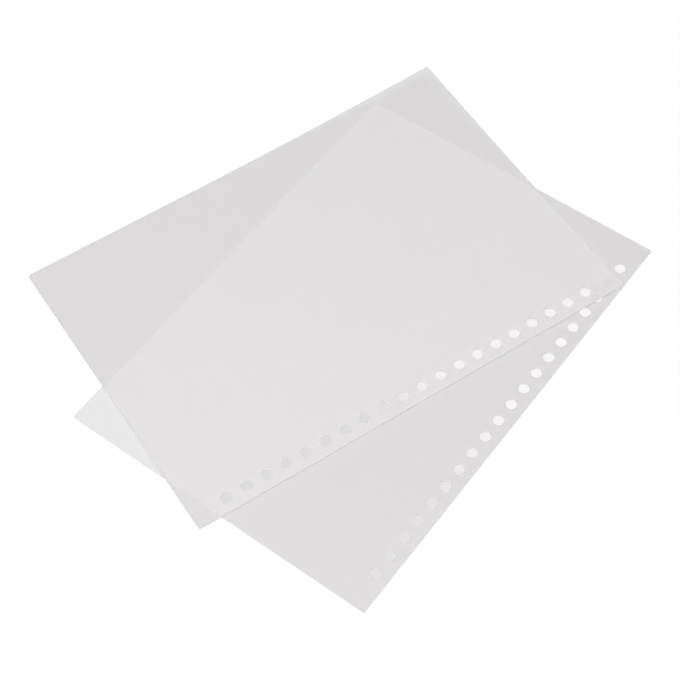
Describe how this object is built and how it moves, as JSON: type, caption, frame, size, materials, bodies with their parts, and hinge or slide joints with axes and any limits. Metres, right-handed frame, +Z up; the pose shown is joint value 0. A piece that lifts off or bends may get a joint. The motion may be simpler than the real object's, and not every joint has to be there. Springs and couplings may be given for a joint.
{
  "type": "sheet protector",
  "caption": "Loose frosted translucent plastic cover sheets with rounded corners and a row of round ring-binder holes along one long edge, one sheet lying turned across the other.",
  "frame": {"origin": "centre of the lower sheet's underside", "axes": "+X along the lower sheet's punched edge, +Y from that edge to the far edge, +Z up"},
  "size_m": [0.2512, 0.2144, 0.001],
  "materials": {
    "frosted_sheet": "frosted translucent polypropylene, fine matt grain on both faces, die-cut edges"
  },
  "bodies": {
    "lower_sheet": {"lower_sheet": "frosted_sheet"},
    "upper_sheet": {"upper_sheet": "frosted_sheet"}
  },
  "joints": [
    {"name": "upper_sheet_lift", "type": "slide", "parent": "lower_sheet", "child": "upper_sheet", "axis": [0, 0, 1], "range_m": [0, 0.15]}
  ]
}
